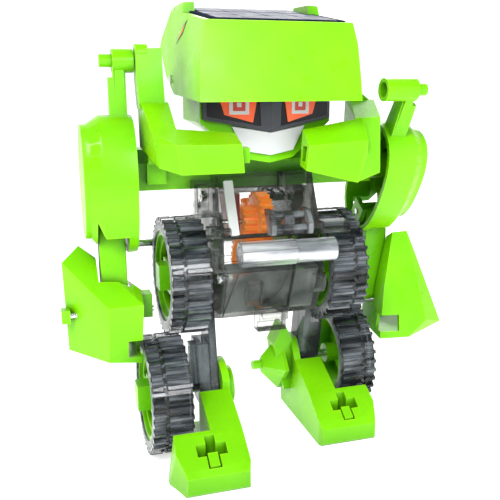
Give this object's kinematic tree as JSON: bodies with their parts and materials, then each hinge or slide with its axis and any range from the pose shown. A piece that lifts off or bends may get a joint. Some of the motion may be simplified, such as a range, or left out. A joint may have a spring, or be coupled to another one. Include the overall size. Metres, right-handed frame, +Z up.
{
  "type": "solar robot kit",
  "caption": "Small walking robot kit with geared wheel legs, see-through gearbox, swinging scoop arms and a lifting visor that carries a solar panel.",
  "frame": {"origin": "middle of the robot's footprint box on the ground plane", "axes": "+X towards the robot's left, -Y the way it faces, +Z up"},
  "size_m": [0.1434, 0.0718, 0.149],
  "materials": {
    "green_plastic": "glossy moulded lime green plastic",
    "smoke_plastic": "smoky see-through plastic",
    "tread_plastic": "smoky see-through toothed tread",
    "clear_plastic": "clear grey plastic",
    "orange_plastic": "orange gear plastic",
    "red_plastic": "dark red plastic",
    "white_plastic": "white plastic",
    "black_plastic": "near black plastic",
    "steel": "plated steel",
    "panel": "solar cells under clear resin"
  },
  "bodies": {
    "chassis": {"gearbox_shell_right": "smoke_plastic", "gearbox_shell_left": "smoke_plastic", "front_tube": "clear_plastic", "front_clip": "clear_plastic", "front_latch": "smoke_plastic", "lower_hook": "smoke_plastic", "white_link": "white_plastic", "case_screws": "steel", "rear_shaft": "steel", "gear_shaft": "steel", "motor_case": "steel", "motor_bracket": "red_plastic", "motor_leads": "black_plastic", "shoulder_beam": "green_plastic", "shoulder_pin_right": "steel", "shoulder_pin_left": "steel", "jaw_claw_right": "green_plastic", "jaw_claw_left": "green_plastic"},
    "axle": {"drive_axle": "steel", "drive_gear": "orange_plastic", "clutch_disc": "green_plastic"},
    "counter": {"counter_gear": "orange_plastic"},
    "rotor": {"motor_shaft": "steel", "motor_pinion": "orange_plastic"},
    "head": {"head_block": "green_plastic", "neck_post": "green_plastic", "eye_mask": "black_plastic", "eye_left": "orange_plastic", "eye_right": "orange_plastic", "mouth_plate": "white_plastic", "visor_pin": "steel"},
    "visor_cap": {"visor": "green_plastic", "solar_panel": "panel", "panel_backing": "white_plastic"},
    "upper_arm_right": {"arm_pod_right": "green_plastic"},
    "lower_arm_right": {"forearm_right": "green_plastic", "elbow_pin_right": "steel"},
    "scoop_right": {"hand_right": "green_plastic", "wrist_pin_right": "steel"},
    "leg_right": {"leg_strut_right": "smoke_plastic", "ankle_axle_right": "steel"},
    "upper_wheel_right": {"upper_tread_right": "tread_plastic", "upper_hub_right": "green_plastic"},
    "lower_wheel_right": {"lower_tread_right": "tread_plastic", "lower_hub_right": "green_plastic"},
    "sole_right": {"foot_right": "green_plastic"},
    "upper_arm_left": {"arm_pod_left": "green_plastic"},
    "lower_arm_left": {"forearm_left": "green_plastic", "elbow_pin_left": "steel"},
    "scoop_left": {"hand_left": "green_plastic", "wrist_pin_left": "steel"},
    "leg_left": {"leg_strut_left": "smoke_plastic", "ankle_axle_left": "steel"},
    "upper_wheel_left": {"upper_tread_left": "tread_plastic", "upper_hub_left": "green_plastic"},
    "lower_wheel_left": {"lower_tread_left": "tread_plastic", "lower_hub_left": "green_plastic"},
    "sole_left": {"foot_left": "green_plastic"}
  },
  "joints": [
    {"name": "axle_spin", "type": "hinge", "parent": "chassis", "child": "axle", "pos_m": [-0.0037, 0.0072, 0.0589], "axis": [1, 0, 0], "continuous": true},
    {"name": "counter_spin", "type": "hinge", "parent": "chassis", "child": "counter", "pos_m": [-0.0077, 0.0057, 0.07644], "axis": [1, 0, 0], "continuous": true},
    {"name": "motor_spin", "type": "hinge", "parent": "chassis", "child": "rotor", "pos_m": [-0.0037, 0.01925, 0.07762], "axis": [1, 0, 0], "continuous": true},
    {"name": "head_turn", "type": "hinge", "parent": "chassis", "child": "head", "pos_m": [-0.0037, 0.0124, 0.1016], "axis": [0, 0, 1], "range_deg": [-15, 15]},
    {"name": "visor_lift", "type": "hinge", "parent": "head", "child": "visor_cap", "pos_m": [-0.0037, 0.0192, 0.124], "axis": [-1, 0, 0], "range_deg": [0, 50]},
    {"name": "shoulder_right", "type": "hinge", "parent": "chassis", "child": "upper_arm_right", "pos_m": [-0.0537, 0.0118, 0.0935], "axis": [1, 0, 0], "range_deg": [-20, 30]},
    {"name": "elbow_right", "type": "hinge", "parent": "upper_arm_right", "child": "lower_arm_right", "pos_m": [-0.0537, 0.0072, 0.0746], "axis": [1, 0, 0], "range_deg": [-35, 3]},
    {"name": "wrist_right", "type": "hinge", "parent": "lower_arm_right", "child": "scoop_right", "pos_m": [-0.0537, 0.0047, 0.0486], "axis": [1, 0, 0], "range_deg": [-10, 25]},
    {"name": "hip_right", "type": "hinge", "parent": "chassis", "child": "leg_right", "pos_m": [-0.0227, 0.0072, 0.0589], "axis": [1, 0, 0], "range_deg": [-20, 20]},
    {"name": "upper_wheel_spin_right", "type": "hinge", "parent": "leg_right", "child": "upper_wheel_right", "pos_m": [-0.0307, 0.0072, 0.0589], "axis": [1, 0, 0], "continuous": true},
    {"name": "lower_wheel_spin_right", "type": "hinge", "parent": "leg_right", "child": "lower_wheel_right", "pos_m": [-0.0397, -0.0013, 0.0202], "axis": [1, 0, 0], "continuous": true},
    {"name": "ankle_right", "type": "hinge", "parent": "leg_right", "child": "sole_right", "pos_m": [-0.0197, -0.0013, 0.0202], "axis": [1, 0, 0], "range_deg": [-15, 15]},
    {"name": "shoulder_left", "type": "hinge", "parent": "chassis", "child": "upper_arm_left", "pos_m": [0.0463, 0.0118, 0.0935], "axis": [1, 0, 0], "range_deg": [-55, 8]},
    {"name": "elbow_left", "type": "hinge", "parent": "upper_arm_left", "child": "lower_arm_left", "pos_m": [0.0463, 0.0184, 0.0752], "axis": [1, 0, 0], "range_deg": [-3, 33]},
    {"name": "wrist_left", "type": "hinge", "parent": "lower_arm_left", "child": "scoop_left", "pos_m": [0.0463, 0.0177, 0.0434], "axis": [1, 0, 0], "range_deg": [0, 20]},
    {"name": "hip_left", "type": "hinge", "parent": "chassis", "child": "leg_left", "pos_m": [0.0153, 0.0072, 0.0589], "axis": [1, 0, 0], "range_deg": [-20, 20]},
    {"name": "upper_wheel_spin_left", "type": "hinge", "parent": "leg_left", "child": "upper_wheel_left", "pos_m": [0.0233, 0.0072, 0.0589], "axis": [1, 0, 0], "continuous": true},
    {"name": "lower_wheel_spin_left", "type": "hinge", "parent": "leg_left", "child": "lower_wheel_left", "pos_m": [0.0323, 0.0157, 0.0202], "axis": [1, 0, 0], "continuous": true},
    {"name": "ankle_left", "type": "hinge", "parent": "leg_left", "child": "sole_left", "pos_m": [0.0123, 0.0157, 0.0202], "axis": [1, 0, 0], "range_deg": [-15, 15]}
  ],
  "couplings": [
    {"joint": "counter_spin", "follows": "axle_spin", "ratio": -2.6667},
    {"joint": "motor_spin", "follows": "axle_spin", "ratio": 6.4},
    {"joint": "upper_wheel_spin_right", "follows": "axle_spin", "ratio": 1},
    {"joint": "lower_wheel_spin_right", "follows": "axle_spin", "ratio": -1},
    {"joint": "upper_wheel_spin_left", "follows": "axle_spin", "ratio": 1},
    {"joint": "lower_wheel_spin_left", "follows": "axle_spin", "ratio": -1}
  ]
}
